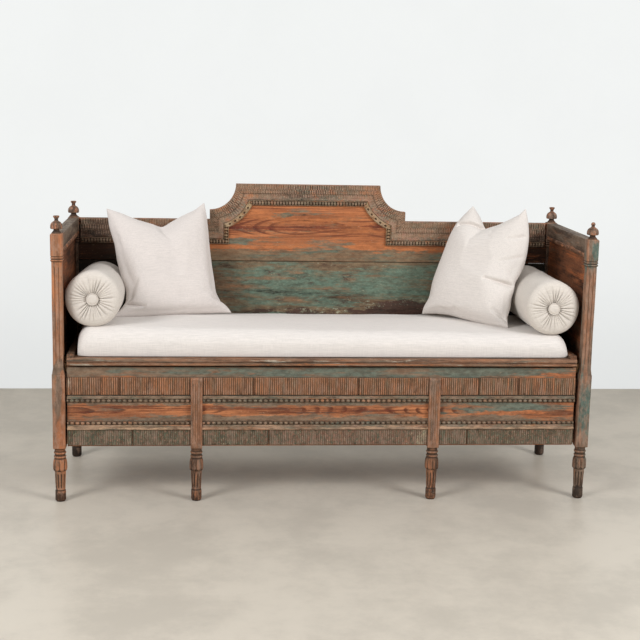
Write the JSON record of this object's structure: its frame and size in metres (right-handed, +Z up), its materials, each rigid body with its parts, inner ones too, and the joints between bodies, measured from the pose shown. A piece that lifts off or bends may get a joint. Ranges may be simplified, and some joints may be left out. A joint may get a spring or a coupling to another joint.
{
  "type": "pull-out bench bed",
  "caption": "Antique panelled pine bench bed with a pull-out slatted front, carved crest, fluted apron, turned legs and linen cushions.",
  "frame": {"origin": "on the floor under the middle of the bench", "axes": "+X along the bench, +Y from the sitter's knees towards the back, +Z up"},
  "size_m": [1.889, 0.5979, 1.07],
  "materials": {
    "painted_pine": "worn layered paint",
    "carved_pine": "worn layered paint",
    "plain_pine": "bare",
    "linen": "matt"
  },
  "bodies": {
    "frame": {"front_left_post": "painted_pine", "front_right_post": "painted_pine", "back_left_post": "painted_pine", "back_right_post": "painted_pine", "finials": "painted_pine", "left_arm_rail": "painted_pine", "right_arm_rail": "painted_pine", "left_arm_panel": "painted_pine", "right_arm_panel": "painted_pine", "left_arm_bottom_rail": "painted_pine", "right_arm_bottom_rail": "painted_pine", "arm_beads": "carved_pine", "back_upper_board": "painted_pine", "back_lower_board": "painted_pine", "back_box_board": "painted_pine", "crest_frieze": "carved_pine", "left_scroll_frieze": "carved_pine", "right_scroll_frieze": "carved_pine", "left_level_frieze": "carved_pine", "right_level_frieze": "carved_pine", "crest_bead": "carved_pine", "left_scroll_bead": "carved_pine", "right_scroll_bead": "carved_pine", "left_level_bead": "carved_pine", "right_level_bead": "carved_pine", "lid_ledgers": "plain_pine", "fixed_slats": "plain_pine", "front_stretcher": "plain_pine", "back_slat_ledger": "plain_pine"},
    "pull_out": {"apron_upper_board": "painted_pine", "apron_lower_board": "painted_pine", "left_middle_leg": "painted_pine", "right_middle_leg": "painted_pine", "upper_fluted_band": "carved_pine", "lower_fluted_band": "carved_pine", "upper_bead_moulding": "carved_pine", "lower_ledge_moulding": "carved_pine", "moving_slats": "plain_pine", "sliding_batten": "plain_pine", "batten_blocks": "plain_pine", "apron_slat_ledger": "plain_pine", "left_box_side": "plain_pine", "right_box_side": "plain_pine"},
    "lid": {"lid_boards": "painted_pine", "lid_edge_moulding": "painted_pine", "lid_cleats": "painted_pine", "lid_battens": "plain_pine"},
    "mattress": {"mattress": "linen"},
    "left_bolster": {"left_bolster": "linen", "left_bolster_buttons": "linen"},
    "right_bolster": {"right_bolster": "linen", "right_bolster_buttons": "linen"},
    "left_pillow": {"left_pillow": "linen"},
    "right_pillow": {"right_pillow": "linen"}
  },
  "joints": [
    {"name": "pull_out_slide", "type": "slide", "parent": "frame", "child": "pull_out", "axis": [0, -1, 0], "range_m": [0, 0.38]},
    {"name": "lid_lift", "type": "slide", "parent": "frame", "child": "lid", "axis": [0, 0, 1], "range_m": [0, 0.25]},
    {"name": "mattress_lift", "type": "slide", "parent": "lid", "child": "mattress", "axis": [0, 0, 1], "range_m": [0, 0.4]},
    {"name": "left_bolster_lift", "type": "slide", "parent": "mattress", "child": "left_bolster", "axis": [0, 0, 1], "range_m": [0, 0.4]},
    {"name": "right_bolster_lift", "type": "slide", "parent": "mattress", "child": "right_bolster", "axis": [0, 0, 1], "range_m": [0, 0.4]},
    {"name": "left_pillow_lift", "type": "slide", "parent": "left_bolster", "child": "left_pillow", "axis": [0, 0, 1], "range_m": [0, 0.4]},
    {"name": "right_pillow_lift", "type": "slide", "parent": "right_bolster", "child": "right_pillow", "axis": [0, 0, 1], "range_m": [0, 0.4]}
  ]
}
